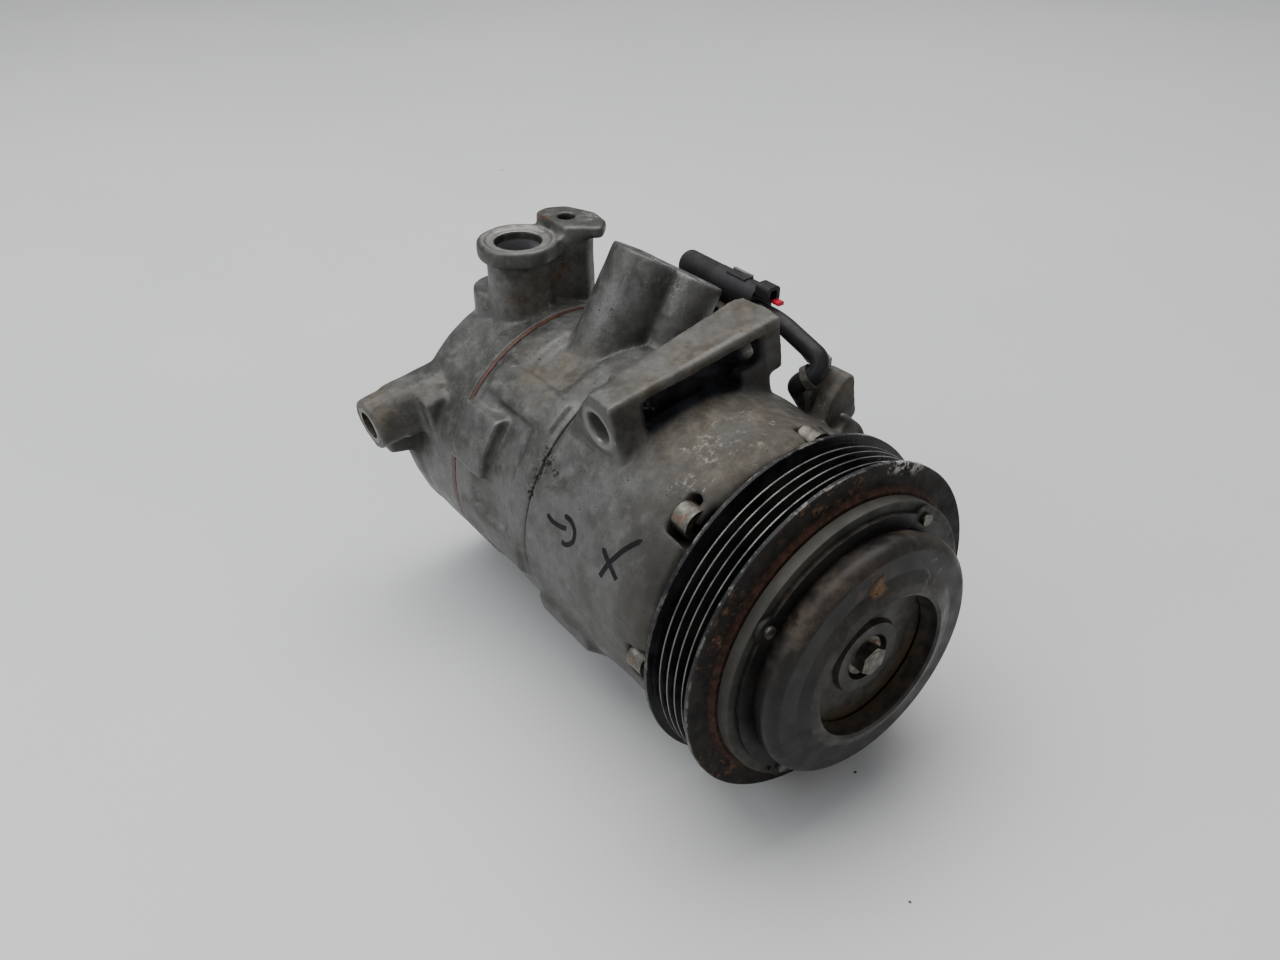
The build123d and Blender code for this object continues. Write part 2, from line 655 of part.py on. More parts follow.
with BuildPart() as hub_bolt:
    disc(across(-22.8), 7.0, 1.6)
    with BuildSketch(across(-24.4)) as head:
        RegularPolygon(5.3, 6, rotation=12)
    extrude(head.sketch, amount=3.8)
    disc(across(-22.9), 2.5, -13.8)
    with BuildSketch(across(-27.4)) as crown:
        Circle(4.1)
    extrude(crown.sketch, amount=0.9, taper=20)
save(hub_bolt, "hub_bolt")

with BuildPart() as hub_shim:
    ring(across(-11.0), 6.0, 9.5, 0.2)
save(hub_shim, "hub_shim")

# ---- connector on the right, along the shaft ----
with BuildPart() as connector_body:
    disc(Plane.XZ.offset(-103), PLUG_R, 23, at=(PLUG_X, PLUG_Z))
    block(Plane.XZ.offset(-101), (PLUG_X - 5.4, PLUG_Z - 5.2), (PLUG_X + 5.4, PLUG_Z + 0.5), 21, corner=1.2)
    block(Plane.XZ.offset(-97), (PLUG_X - 2.2, PLUG_Z + 3), (PLUG_X + 2.2, PLUG_Z + 5.7), 10, corner=0.6)
save(connector_body, "connector_body")

with BuildPart() as connector_boot:
    disc(Plane.XZ.offset(-122), PLUG_R - 0.1, 19, at=(PLUG_X, PLUG_Z))
    fillet(connector_boot.faces().sort_by(Axis.Y)[-1].edges(), 1.6)
save(connector_boot, "connector_boot")

with BuildPart() as connector_latch:
    latch_low = (PLUG_X - 3.2, PLUG_Z + 1.4)
    latch_high = (PLUG_X + 2.8, PLUG_Z + 7.2)
    block(Plane.XZ.offset(-80), latch_low, latch_high, 6.5, corner=1.6)
    window_low = (PLUG_X - 1.7, PLUG_Z + 2.6)
    window_high = (PLUG_X + 1.3, PLUG_Z + 5.8)
    block(Plane.XZ.offset(-80), window_low, window_high, 6.5, corner=0.8, mode=Mode.SUBTRACT)
save(connector_latch, "connector_latch")

with BuildPart() as connector_lock:
    block(Plane.XZ.offset(-73.5), (PLUG_X - 0.8, PLUG_Z + 0.9), (PLUG_X + 2.2, PLUG_Z + 2.4), 3.0, corner=0.5)
save(connector_lock, "connector_lock")

with BuildPart() as connector_bracket:
    strip_top = PLUG_Z - PLUG_R
    foot_x = BRACKET_X + 1.5
    strip = Plane.XZ.offset(-102)
    slab(strip, [(foot_x, strip_top), (BRACKET_X, strip_top), (BRACKET_X, 51), (foot_x, 51)], 10)
    slab(strip, [(BRACKET_X, strip_top), (BRACKET_X, strip_top - 1.5), (52, strip_top - 1.5), (52, strip_top)], 10)
    slab(strip, [(50.7, strip_top - 1.5), (52, strip_top - 1.5), (52, 72), (50.7, 72)], 10)
    disc(side(foot_x), 2.2, -2, at=(97, 56.5), mode=Mode.SUBTRACT)
    # arm behind the lead, with its foot on the ear
    arm_low = [(47.5, 54.1), (51.5, 54.1), (53, 51.5), (58, 51.6), (68, 56.5), (92.5, 62.4)]
    arm_high = [(92.5, 63.2), (78, 63.3), (70, 63.8), (56, 60.5), (47.5, 57.5)]
    slab(side(48.6), arm_low + arm_high, 1.2)
save(connector_bracket, "connector_bracket")

with BuildPart() as bracket_screw:
    disc(side(BRACKET_X - 7.5), 1.95, 10, at=(97, 56.5))
    disc(side(foot_x), 3.8, 2.6, at=(97, 56.5))
    with BuildSketch(side(foot_x + 2.6)) as drive:
        with Locations((97, 56.5)):
            RegularPolygon(1.9, 6)
    extrude(drive.sketch, amount=-1.5, mode=Mode.SUBTRACT)
save(bracket_screw, "bracket_screw")

# ---- coil lead: from the connector round the right side to the coil's terminal ----
lead_route = [
    Vector(43.6, 80.0, 65.2),
    Vector(43.6, 68.0, 65.2),
    Vector(44.2, 42.8, 57.5),
    Vector(37.8, 52.3, 49.0),
    Vector(47.3, 57.0, 38.0),
    Vector(54.5, 57.0, 26.5),
    Vector(60.5, 52.0, 10.0),
    Vector(59.2, 35.0, -12.8),
    Vector(56.3, 29.0, -17.4),
    Vector(56.3, 20.5, -17.4),
]
HOOK_RADII = {2: 4.5, 3: 6.0}  # tight bends on both sides of the clip
lead_radii = []
for number in range(1, len(lead_route) - 1):
    before = lead_route[number] - lead_route[number - 1]
    after = lead_route[number + 1] - lead_route[number]
    widest = 0.45 * min(before.length, after.length) / tan(radians(before.get_angle(after)) / 2)
    lead_radii.append(HOOK_RADII.get(number, widest))
print("lead radii", [round(r, 1) for r in lead_radii])
with BuildPart() as coil_lead:
    with BuildLine() as lead_path:
        FilletPolyline(*lead_route, radius=lead_radii)
    with BuildSketch(Plane(origin=lead_route[0], z_dir=lead_route[1] - lead_route[0])):
        Circle(LEAD_R)
    sweep()
lead_length = sum(e.length for e in lead_path.edges())
print("lead length", round(lead_length, 1))
print("lead volume over section times length", round(coil_lead.part.volume / (lead_length * pi * LEAD_R**2), 4))
save(coil_lead, "coil_lead")

# clip round the lead between its two tight bends, with a foot on the ear
clip_axis = lead_route[3] - lead_route[2]
clip_middle = lead_route[2] + clip_axis.normalized() * 8.5
clip_plane = Plane(origin=clip_middle - clip_axis.normalized() * 1.3, z_dir=clip_axis)
with BuildPart() as lead_clip:
    disc(clip_plane, LEAD_R + 1.2, 2.6)
    slab(across(47.5), [(44.6, 33.7), (49.4, 37.6), (50.4, 45), (47, 46)], 1.6)
    disc(clip_plane, LEAD_R + 0.06, 5.0, mode=Mode.SUBTRACT)
    disc(clip_plane, LEAD_R + 0.06, -2.0, mode=Mode.SUBTRACT)
save(lead_clip, "lead_clip")
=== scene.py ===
import bmesh
import bpy
import json
import math
import numpy as np
from mathutils import Matrix, Vector
from mathutils.bvhtree import BVHTree


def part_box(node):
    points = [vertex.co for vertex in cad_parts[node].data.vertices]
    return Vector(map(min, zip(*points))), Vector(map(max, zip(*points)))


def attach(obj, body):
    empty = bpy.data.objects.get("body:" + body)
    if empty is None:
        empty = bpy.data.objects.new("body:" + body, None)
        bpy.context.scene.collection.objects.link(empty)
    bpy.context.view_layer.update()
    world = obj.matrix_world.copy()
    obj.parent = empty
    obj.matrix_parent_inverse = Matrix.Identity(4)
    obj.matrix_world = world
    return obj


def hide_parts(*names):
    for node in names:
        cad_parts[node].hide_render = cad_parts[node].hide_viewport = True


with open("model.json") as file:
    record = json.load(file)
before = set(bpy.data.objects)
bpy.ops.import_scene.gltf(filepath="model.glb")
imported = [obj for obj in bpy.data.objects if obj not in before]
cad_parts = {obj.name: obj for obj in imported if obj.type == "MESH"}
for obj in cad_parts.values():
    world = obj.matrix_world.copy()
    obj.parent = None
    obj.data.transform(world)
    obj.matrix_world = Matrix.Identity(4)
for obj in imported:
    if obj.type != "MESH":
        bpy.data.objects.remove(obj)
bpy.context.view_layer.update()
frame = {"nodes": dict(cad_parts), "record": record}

nodes = frame["nodes"]
MM = 0.001
TURN = math.radians(10.0)
U = np.array([math.cos(TURN), 0.0, math.sin(TURN)])
W = np.array([-math.sin(TURN), 0.0, math.cos(TURN)])
FLOOR_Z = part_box("pulley")[0].z
BODY = "body"


def uyw(u, y, w):
    """A point of the bolt frame, in millimetres, as a point of the row frame in metres."""
    return (U * u + W * w) * MM + np.array([0.0, y * MM, 0.0])


def on_body(angle, y, radius):
    """A point at an angle round the shaft, in degrees and millimetres, in metres."""
    a = math.radians(angle)
    return np.array([radius * math.cos(a), y, radius * math.sin(a)]) * MM


# ---- camera, floor and light ----
right = Vector((0.79989, -0.60015, 0.0001))
up = Vector((0.34066, 0.45415, 0.82322))
back = Vector((-0.49409, -0.65846, 0.56772))
camera = bpy.data.objects.new("camera", bpy.data.cameras.new("camera"))
bpy.context.scene.collection.objects.link(camera)
camera.matrix_world = Matrix((
    (right.x, up.x, back.x, -0.20715),
    (right.y, up.y, back.y, -0.18364),
    (right.z, up.z, back.z, 0.23983),
    (0, 0, 0, 1),
))
camera.data.sensor_width = 36.0
camera.data.lens = 30.97
camera.data.clip_start = 0.01
camera.data.clip_end = 20.0
bpy.context.scene.camera = camera


def area_light(name, place, target, size, power, colour):
    light = bpy.data.lights.new(name, "AREA")
    light.shape = "RECTANGLE"
    light.size, light.size_y = size
    light.energy = power
    light.color = colour
    lamp = bpy.data.objects.new(name, light)
    bpy.context.scene.collection.objects.link(lamp)
    lamp.location = place
    lamp.rotation_mode = "QUATERNION"
    lamp.rotation_quaternion = (Vector(target) - Vector(place)).to_track_quat("-Z", "Y")


area_light("ceiling", (0.1, 0.5, 1.5), (0.0, 0.06, 0.0), (2.2, 1.2), 36.0, (1.0, 1.0, 1.0))
area_light("window", (-1.3, 0.5, 0.9), (0.0, 0.05, 0.0), (1.2, 0.9), 9.0, (0.95, 0.98, 1.0))
area_light("front", (-0.3, -1.4, 0.8), (0.0, 0.0, 0.0), (1.4, 0.8), 2.5, (1.0, 0.98, 0.95))
world = bpy.data.worlds.new("studio")
bpy.context.scene.world = world
world.use_nodes = True
world.node_tree.nodes["Background"].inputs["Color"].default_value = (0.93, 0.95, 1.0, 1.0)
world.node_tree.nodes["Background"].inputs["Strength"].default_value = 0.27


# ---- materials ----
def rgba(colour):
    return (*colour, 1.0) if len(colour) == 3 else colour


class Paint:
    """A node material that is built up from masks in the row frame."""

    def __init__(self, name, roughness=0.5, metallic=0.0, specular=0.5):
        self.material = bpy.data.materials.new(name)
        self.material.use_nodes = True
        self.tree = self.material.node_tree
        self.shader = self.tree.nodes["Principled BSDF"]
        self.shader.inputs["Roughness"].default_value = roughness
        self.shader.inputs["Metallic"].default_value = metallic
        self.shader.inputs["Specular IOR Level"].default_value = specular
        self.place = self.tree.nodes.new("ShaderNodeTexCoord").outputs["Object"]
        self.normal = None

    def node(self, kind, inputs, output, **settings):
        made = self.tree.nodes.new("ShaderNode" + kind)
        for key, value in settings.items():
            setattr(made, key, value)
        for key, value in inputs.items():
            if isinstance(value, bpy.types.NodeSocket):
                self.tree.links.new(value, made.inputs[key])
            else:
                made.inputs[key].default_value = value
        return made.outputs[output]

    def noise(self, scale, detail=5.0, roughness=0.6, distortion=0.0, place=None):
        inputs = {"Vector": place or self.place, "Scale": scale, "Detail": detail}
        inputs.update({"Roughness": roughness, "Distortion": distortion})
        return self.node("TexNoise", inputs, "Fac")

    def cells(self, scale, output="Distance", place=None):
        return self.node("TexVoronoi", {"Vector": place or self.place, "Scale": scale}, output)

    def step(self, value, low, high, first=0.0, last=1.0):
        inputs = {"Value": value, "From Min": low, "From Max": high, "To Min": first, "To Max": last}
        return self.node("MapRange", inputs, "Result", interpolation_type="SMOOTHSTEP")

    def maths(self, operation, a, b=0.0, clamp=False):
        return self.node("Math", {0: a, 1: b}, "Value", operation=operation, use_clamp=clamp)

    def mix(self, factor, a, b):
        a = rgba(a) if isinstance(a, tuple) else a
        b = rgba(b) if isinstance(b, tuple) else b
        return self.node("MixRGB", {"Fac": factor, "Color1": a, "Color2": b}, "Color")

    def scaled(self, factors):
        return self.node("VectorMath", {0: self.place, 1: factors}, "Vector", operation="MULTIPLY")

    def axis(self, name):
        return self.node("SeparateXYZ", {"Vector": self.place}, name)

    def dot(self, direction):
        inputs = {0: self.place, 1: tuple(float(c) for c in direction)}
        return self.node("VectorMath", inputs, "Value", operation="DOT_PRODUCT")

    def radius(self):
        return self.node("VectorMath", {0: self.scaled((1.0, 0.0, 1.0))}, "Value", operation="LENGTH")

    def near(self, point, inner, outer, ragged=0.0, scale=120.0):
        """1 within inner millimetres of a point and 0 beyond outer, with a ragged edge."""
        centre = tuple(float(c) for c in point)
        away = self.node("VectorMath", {0: self.place, 1: centre}, "Value", operation="DISTANCE")
        if ragged:
            shift = self.step(self.noise(scale, 4.0), 0.3, 0.7, -ragged * MM, ragged * MM)
            away = self.maths("ADD", away, shift)
        return self.step(away, outer * MM, inner * MM)

    def along(self, value, low, high, soft):
        """1 where a value lies between two limits."""
        rise = self.step(value, low - soft, low)
        fall = self.step(value, high + soft, high)
        return self.maths("MULTIPLY", rise, fall)

    def edges(self, low, high):
        return self.step(self.node("NewGeometry", {}, "Pointiness"), low, high)

    def upward(self, low, high):
        normal = self.node("NewGeometry", {}, "Normal")
        return self.step(self.node("SeparateXYZ", {"Vector": normal}, "Z"), low, high)

    def both(self, *masks):
        result = masks[0]
        for mask in masks[1:]:
            result = self.maths("MULTIPLY", result, mask)
        return result

    def either(self, *masks):
        result = masks[0]
        for mask in masks[1:]:
            result = self.maths("MAXIMUM", result, mask)
        return result

    def bump(self, height, depth, strength=1.0):
        """Adds relief of the given depth in millimetres."""
        inputs = {"Height": height, "Distance": depth * MM, "Strength": strength}
        if self.normal is not None:
            inputs["Normal"] = self.normal
        self.normal = self.node("Bump", inputs, "Normal")

    def done(self, colour, roughness=None, metallic=None):
        self.tree.links.new(colour, self.shader.inputs["Base Color"])
        if roughness is not None:
            self.tree.links.new(roughness, self.shader.inputs["Roughness"])
        if metallic is not None:
            self.tree.links.new(metallic, self.shader.inputs["Metallic"])
        if self.normal is not None:
            self.tree.links.new(self.normal, self.shader.inputs["Normal"])
        return self.material


def cast_aluminium():
    """Weathered die-cast aluminium, with dirt on the deck, corrosion on the front top and dark stains."""
    p = Paint("cast_aluminium", specular=0.35)
    u, y, w = p.dot(U), p.axis("Y"), p.dot(W)
    base = p.mix(p.step(p.noise(24.0, 6.0), 0.36, 0.64), (0.069, 0.068, 0.063), (0.129, 0.129, 0.124))
    base = p.mix(p.step(p.noise(75.0, 6.0, 0.65), 0.44, 0.66, 0.0, 0.65), base, (0.061, 0.058, 0.051))
    base = p.mix(p.step(p.noise(190.0, 6.0, 0.7), 0.48, 0.70, 0.0, 0.5), base, (0.198, 0.198, 0.188))
    base = p.mix(p.step(p.noise(520.0, 4.0, 0.7), 0.50, 0.72, 0.0, 0.45), base, (0.050, 0.048, 0.043))
    # the belt end is dirtier than the middle, and the left flank is cleaner
    belt_end = p.step(y, 0.052, 0.018)
    base = p.mix(
        p.maths("MULTIPLY", belt_end, p.step(p.noise(60.0, 5.0), 0.3, 0.6, 0.35, 0.95)),
        base,
        (0.056, 0.051, 0.043),
    )
    flank = p.near(on_body(165, 62, 55), 12, 34, 8.0, 60.0)
    base = p.mix(
        p.maths("MULTIPLY", flank, p.step(p.noise(110.0, 5.0), 0.35, 0.65, 0.05, 0.38)),
        base,
        (0.198, 0.201, 0.198),
    )
    # streaks down the discharge boss
    tower_mask = p.both(p.near((0.022, 0.108, 0.072), 16, 25), p.step(w, 0.050, 0.058))
    streaks = p.step(p.noise(330.0, 5.0, 0.6, 0.0, p.scaled((1.0, 1.0, 0.12))), 0.40, 0.62)
    base = p.mix(
        p.both(tower_mask, streaks, p.step(p.noise(60.0, 3.0), 0.35, 0.6, 0.3, 0.75)),
        base,
        (0.178, 0.178, 0.175),
    )
    # brown grime in a wide band over the front top, the deck and round the neck
    grime = p.either(
        p.near(uyw(8, 40, 56), 16, 46, 9.0, 60.0),
        p.near(uyw(30, 66, 71), 10, 34, 8.0, 80.0),
        p.maths("MULTIPLY", p.near(uyw(-5, 66, 71), 8, 30, 9.0, 70.0), 0.5),
        p.near(uyw(52, 45, 42), 6, 22, 5.0, 90.0),
        p.near((-0.008, 0.147, 0.062), 5, 19, 5.0, 140.0),
        p.near(uyw(-60, 163, 34), 4, 18, 5.0, 120.0),
        p.near(uyw(-15, 112, 52), 4, 20, 7.0, 90.0),
    )
    soil = p.mix(p.step(p.noise(210.0, 6.0, 0.65), 0.36, 0.66), (0.056, 0.045, 0.032), (0.132, 0.114, 0.086))
    patchy = p.step(p.noise(85.0, 6.0, 0.65), 0.34, 0.62, 0.2, 0.88)
    colour = p.mix(p.maths("MULTIPLY", grime, patchy), base, soil)
    # rust-brown weeping beside the neck and on the port's pad
    weep = p.either(
        p.near((0.0005, 0.1455, 0.0665), 1, 8, 3.0, 300.0),
        p.near((0.005, 0.160, 0.0852), 0.5, 4.5, 2.0, 300.0),
    )
    colour = p.mix(p.both(weep, p.step(p.noise(420.0, 5.0), 0.48, 0.60)), colour, (0.112, 0.046, 0.020))
    # whitish corrosion over the front top, under the deck and along the bosses
    white = p.either(
        p.near(on_body(104, 32, 55), 3, 13, 7.0, 160.0),
        p.near(on_body(124, 30, 55), 2, 8, 5.0, 200.0),
        p.near(on_body(86, 36, 55), 2, 8, 5.0, 200.0),
        p.near(uyw(-8, 66, 58), 2, 11, 6.0, 200.0),
        p.near(uyw(47, 42, 33), 1, 8, 5.0, 200.0),
        p.near((0.020, 0.100, 0.080), 2, 12, 7.0, 180.0),
        p.near((0.021, 0.149, 0.082), 2, 8, 4.0, 250.0),
        p.near((-0.006, 0.143, 0.055), 2, 9, 5.0, 250.0),
        p.near(on_body(128, 130, 55), 2, 7, 4.0, 300.0),
    )
    bloom = p.both(
        white,
        p.step(p.noise(560.0, 5.0, 0.75), 0.50, 0.62),
        p.step(p.noise(150.0, 3.0), 0.40, 0.62),
    )
    colour = p.mix(p.maths("MULTIPLY", bloom, 0.8), colour, (0.330, 0.323, 0.304))
    # dark stains round the left eye, on the boss and behind the port
    stain = p.either(
        p.near(on_body(100, 88, 56), 2, 12, 6.0, 90.0),
        p.near((0.012, 0.098, 0.062), 2, 10, 5.0, 120.0),
        p.near(on_body(147, 27, 54), 4, 20, 6.0, 90.0),
        p.near(on_body(60, 25, 54), 4, 18, 6.0, 90.0),
        p.near((-0.020, 0.146, 0.073), 1, 8, 3.0, 200.0),
        p.near(uyw(-52, 168, 14), 3, 14, 5.0, 120.0),
    )
    dark = p.step(p.noise(120.0, 6.0, 0.65), 0.32, 0.6, 0.15, 0.85)
    colour = p.mix(p.maths("MULTIPLY", stain, dark), colour, (0.034, 0.032, 0.028))
    # sealant squeezed out of the joint on the left
    smear = p.either(
        p.near(on_body(141.5, 85.8, 55.8), 0.8, 2.6, 1.6, 500.0),
        p.near(on_body(145.5, 84.6, 55.8), 0.8, 3.4, 2.2, 500.0),
        p.near(on_body(146.0, 79.6, 55.8), 0.2, 2.0, 1.6, 500.0),
        p.near(on_body(151.0, 86.4, 55.8), 0.6, 3.0, 2.2, 500.0),
        p.near(on_body(157.5, 87.4, 55.8), 0.6, 2.8, 2.0, 500.0),
    )
    colour = p.mix(
        p.maths("MULTIPLY", smear, p.step(p.noise(620.0, 5.0), 0.40, 0.52)),
        colour,
        (0.008, 0.007, 0.006),
    )
    seam = p.along(y, 0.0862, 0.0869, 0.0003)
    colour = p.mix(
        p.both(seam, p.step(p.noise(140.0, 4.0), 0.35, 0.65, 0.25, 0.8)),
        colour,
        (0.020, 0.018, 0.015),
    )
    pits = p.both(p.step(p.cells(300.0), 0.14, 0.05), p.step(p.noise(60.0, 2.0), 0.52, 0.62))
    colour = p.mix(p.maths("MULTIPLY", pits, 0.85), colour, (0.026, 0.022, 0.018))
    # bare metal on edges and machined faces
    worn_deck = p.both(
        p.along(y, 0.0535, 0.0562, 0.0008),
        p.step(w, 0.0685, 0.0700),
        p.step(p.noise(90.0, 5.0), 0.35, 0.65),
    )
    bare = p.either(
        p.maths("MULTIPLY", p.edges(0.52, 0.60), p.step(p.noise(210.0, 4.0), 0.35, 0.6, 0.1, 0.75)),
        p.both(p.near((-0.010, 0.155, 0.0805), 13.0, 14.6), p.upward(0.8, 0.95)),
        p.maths("MULTIPLY", p.near(uyw(-28.3, 64.4, 58.7), 7.2, 8.8), 0.55),
        p.maths("MULTIPLY", worn_deck, 0.35),
    )
    colour = p.mix(bare, colour, (0.264, 0.261, 0.247))
    groove = p.both(
        p.near((-0.010, 0.155, 0.0801), 12.9, 13.3),
        p.upward(0.8, 0.95),
        p.step(p.noise(300.0, 4.0), 0.3, 0.6, 0.2, 0.8),
    )
    inner_ring = p.maths("SUBTRACT", 1.0, p.near((-0.010, 0.155, 0.0801), 11.6, 12.2))
    colour = p.mix(p.both(groove, inner_ring), colour, (0.086, 0.056, 0.033))
    # painted shade: low pointiness darkens creases and hollows, standing in for the shade that falls there
    crevice_shade = p.step(p.node("NewGeometry", {}, "Pointiness"), 0.490, 0.43)
    colour = p.mix(p.maths("MULTIPLY", crevice_shade, 0.75), colour, (0.026, 0.024, 0.020))
    # painted shade: the hollow under the deck gets a dark bluish tone that stands in for the shade there, and the
    # wall of the port is machined
    pocket_shade = p.both(
        p.along(u, -0.016, 0.034, 0.002),
        p.along(w, 0.040, 0.0668, 0.0006),
        p.along(y, 0.0560, 0.0692, 0.0040),
    )
    shade = p.mix(p.step(p.noise(130.0, 5.0), 0.4, 0.65), (0.018, 0.019, 0.022), (0.046, 0.048, 0.053))
    colour = p.mix(p.both(pocket_shade, p.maths("SUBTRACT", 1.0, bloom)), colour, shade)
    inner = p.both(p.near((-0.010, 0.155, 0.070), 11.0, 11.6), p.maths("SUBTRACT", 1.0, p.upward(0.6, 0.9)))
    colour = p.mix(p.maths("MULTIPLY", inner, 0.8), colour, (0.30, 0.30, 0.31))
    dirty = p.either(grime, stain, belt_end)
    rough = p.maths(
        "ADD",
        p.step(p.noise(190.0, 5.0), 0.3, 0.7, 0.38, 0.60),
        p.maths("MULTIPLY", dirty, 0.20),
        True,
    )
    rough = p.maths("SUBTRACT", rough, p.maths("MULTIPLY", bare, 0.14), True)
    metal = p.maths("SUBTRACT", 0.62, p.maths("MULTIPLY", p.either(dirty, bloom), 0.5), True)
    p.bump(p.noise(95.0, 5.0, 0.55), 0.6, 0.6)
    p.bump(p.noise(900.0, 4.0, 0.65), 0.16, 0.8)
    p.bump(p.maths("SUBTRACT", 1.0, pits), 0.25, 0.8)
    p.bump(smear, 0.5, 0.7)
    return p.done(colour, rough, metal)


def gasket_paint():
    p = Paint("gasket", 0.55)
    colour = p.mix(p.step(p.noise(300.0), 0.35, 0.7), (0.060, 0.022, 0.015), (0.105, 0.041, 0.027))
    p.bump(p.noise(1500.0, 3.0), 0.05, 0.6)
    return p.done(colour)


def steel(name, dark, light, roughness=0.35, grain=500.0, rust=0.0):
    """Bare or plated steel, with fine grain and, where wanted, rust."""
    p = Paint(name, roughness, 0.9)
    colour = p.mix(p.step(p.noise(grain, 4.0), 0.3, 0.7), dark, light)
    rough = p.step(p.noise(grain * 0.6, 4.0), 0.3, 0.7, roughness - 0.08, roughness + 0.14)
    metal = None
    if rust:
        red = p.step(p.noise(230.0, 6.0, 0.7), 0.62 - rust * 0.2, 0.7 - rust * 0.1)
        colour = p.mix(red, colour, (0.16, 0.075, 0.035))
        rough = p.maths("ADD", rough, p.maths("MULTIPLY", red, 0.4), True)
        metal = p.maths("SUBTRACT", 0.9, p.maths("MULTIPLY", red, 0.8), True)
    p.bump(p.noise(grain * 3.0, 3.0), 0.04, 0.5)
    return p.done(colour, rough, metal)


def plain(name, dark, light, roughness, grain, depth=0.06, metallic=0.0):
    """Plastic, rubber and other dull surfaces with a fine grain."""
    p = Paint(name, roughness, metallic, 0.2)
    colour = p.mix(p.step(p.noise(60.0, 4.0), 0.3, 0.7), dark, light)
    dust = p.both(p.upward(0.3, 1.0), p.step(p.noise(180.0, 5.0), 0.45, 0.75, 0.0, 0.25))
    colour = p.mix(dust, colour, (0.085, 0.077, 0.066))
    rough = p.step(p.noise(160.0, 4.0), 0.3, 0.7, roughness - 0.08, roughness + 0.1)
    p.bump(p.noise(grain, 4.0), depth, 0.6)
    return p.done(colour, rough)


def pulley_paint():
    """Black paint, bare ridge tops, rust and flaking on the front flange."""
    p = Paint("pulley_paint", 0.3, 0.0, 0.2)
    y, r = p.axis("Y"), p.radius()
    colour = p.mix(p.step(p.noise(80.0, 5.0), 0.35, 0.7), (0.006, 0.006, 0.007), (0.016, 0.016, 0.017))
    rough = p.step(p.noise(160.0, 4.0), 0.3, 0.7, 0.20, 0.42)
    # polished tops of the ridges and the rims' edges
    tops = p.both(p.along(r, 0.05785, 0.0581, 0.00006), p.along(y, -0.0075, 0.0075, 0.0002))
    rims = p.both(p.step(r, 0.0596, 0.0600), p.step(p.noise(260.0, 6.0, 0.7), 0.47, 0.6))
    scratch = p.noise(50.0, 4.0, 0.6, 0.0, p.scaled((1.0, 14.0, 1.0)))
    rims = p.maths("MULTIPLY", rims, p.step(scratch, 0.42, 0.6))
    worn = p.step(p.noise(130.0, 4.0), 0.3, 0.6, 0.12, 0.42)
    bare = p.either(p.maths("MULTIPLY", tops, worn), p.maths("MULTIPLY", rims, 0.4))
    colour = p.mix(bare, colour, (0.40, 0.385, 0.345))
    # brown dust in the grooves
    groove = p.both(
        p.step(r, 0.0572, 0.0560),
        p.along(y, -0.009, 0.009, 0.0005),
        p.step(p.noise(120.0), 0.4, 0.7, 0.0, 0.5),
    )
    colour = p.mix(groove, colour, (0.046, 0.037, 0.028))
    # front flange: dull, brown and rusty
    front = p.step(y, -0.0104, -0.0108)
    soil = p.mix(p.step(p.noise(150.0, 6.0, 0.7), 0.35, 0.68), (0.007, 0.007, 0.007), (0.031, 0.025, 0.020))
    colour = p.mix(p.maths("MULTIPLY", front, 0.85), colour, soil)
    left_rust = p.near(on_body(150, -11, 56), 6, 26, 9.0, 110.0)
    top_rust = p.near(on_body(100, -11, 56), 4, 22, 8.0, 110.0)
    wide = p.either(left_rust, top_rust, p.near(on_body(215, -11, 56), 3, 20, 8.0, 110.0))
    flake = p.step(p.noise(330.0, 6.0, 0.72), 0.50, 0.585)
    rust = p.both(
        front,
        p.either(p.maths("MULTIPLY", wide, 0.9), p.step(p.noise(48.0, 3.0), 0.62, 0.72)),
        flake,
    )
    rust_tone = p.mix(p.step(p.noise(700.0, 4.0), 0.35, 0.65), (0.053, 0.024, 0.012), (0.149, 0.084, 0.046))
    colour = p.mix(rust, colour, rust_tone)
    # red-brown rust on the friction face and in the gap
    inner = p.both(p.step(y, -0.0105, -0.0108), p.step(r, 0.0533, 0.0520))
    inner_tone = p.mix(p.step(p.noise(420.0, 5.0), 0.35, 0.7), (0.024, 0.011, 0.007), (0.071, 0.031, 0.019))
    colour = p.mix(p.maths("MULTIPLY", inner, 0.9), colour, inner_tone)
    flaked = p.both(
        p.near(on_body(67, -10.7, 58.7), 2, 11, 3.0, 300.0),
        p.step(p.noise(420.0, 5.0), 0.50, 0.56),
    )
    chips = p.both(flaked, p.step(r, 0.0555, 0.0585))
    colour = p.mix(chips, colour, (0.42, 0.405, 0.37))
    dull = p.either(p.maths("MULTIPLY", front, 0.9), inner)
    rough = p.maths("ADD", rough, p.maths("MULTIPLY", dull, 0.42), True)
    metal = p.maths("MULTIPLY", bare, 0.9)
    p.bump(p.noise(330.0, 6.0, 0.72), 0.30, 0.5)
    p.bump(rust, 0.15, 0.8)
    return p.done(colour, rough, metal)


def armature_paint():
    p = Paint("armature_steel", 0.55, 0.2, 0.25)
    colour = p.mix(p.step(p.noise(60.0, 5.0), 0.35, 0.7), (0.026, 0.027, 0.023), (0.065, 0.066, 0.055))
    rust = p.step(p.noise(170.0, 6.0, 0.7), 0.56, 0.66)
    colour = p.mix(p.maths("MULTIPLY", rust, 0.6), colour, (0.053, 0.031, 0.019))
    rim = p.step(p.radius(), 0.0494, 0.0503)
    colour = p.mix(p.maths("MULTIPLY", rim, 0.4), colour, (0.093, 0.087, 0.074))
    p.bump(p.noise(400.0, 5.0), 0.12, 0.6)
    return p.done(colour, p.step(p.noise(220.0), 0.3, 0.7, 0.42, 0.68))


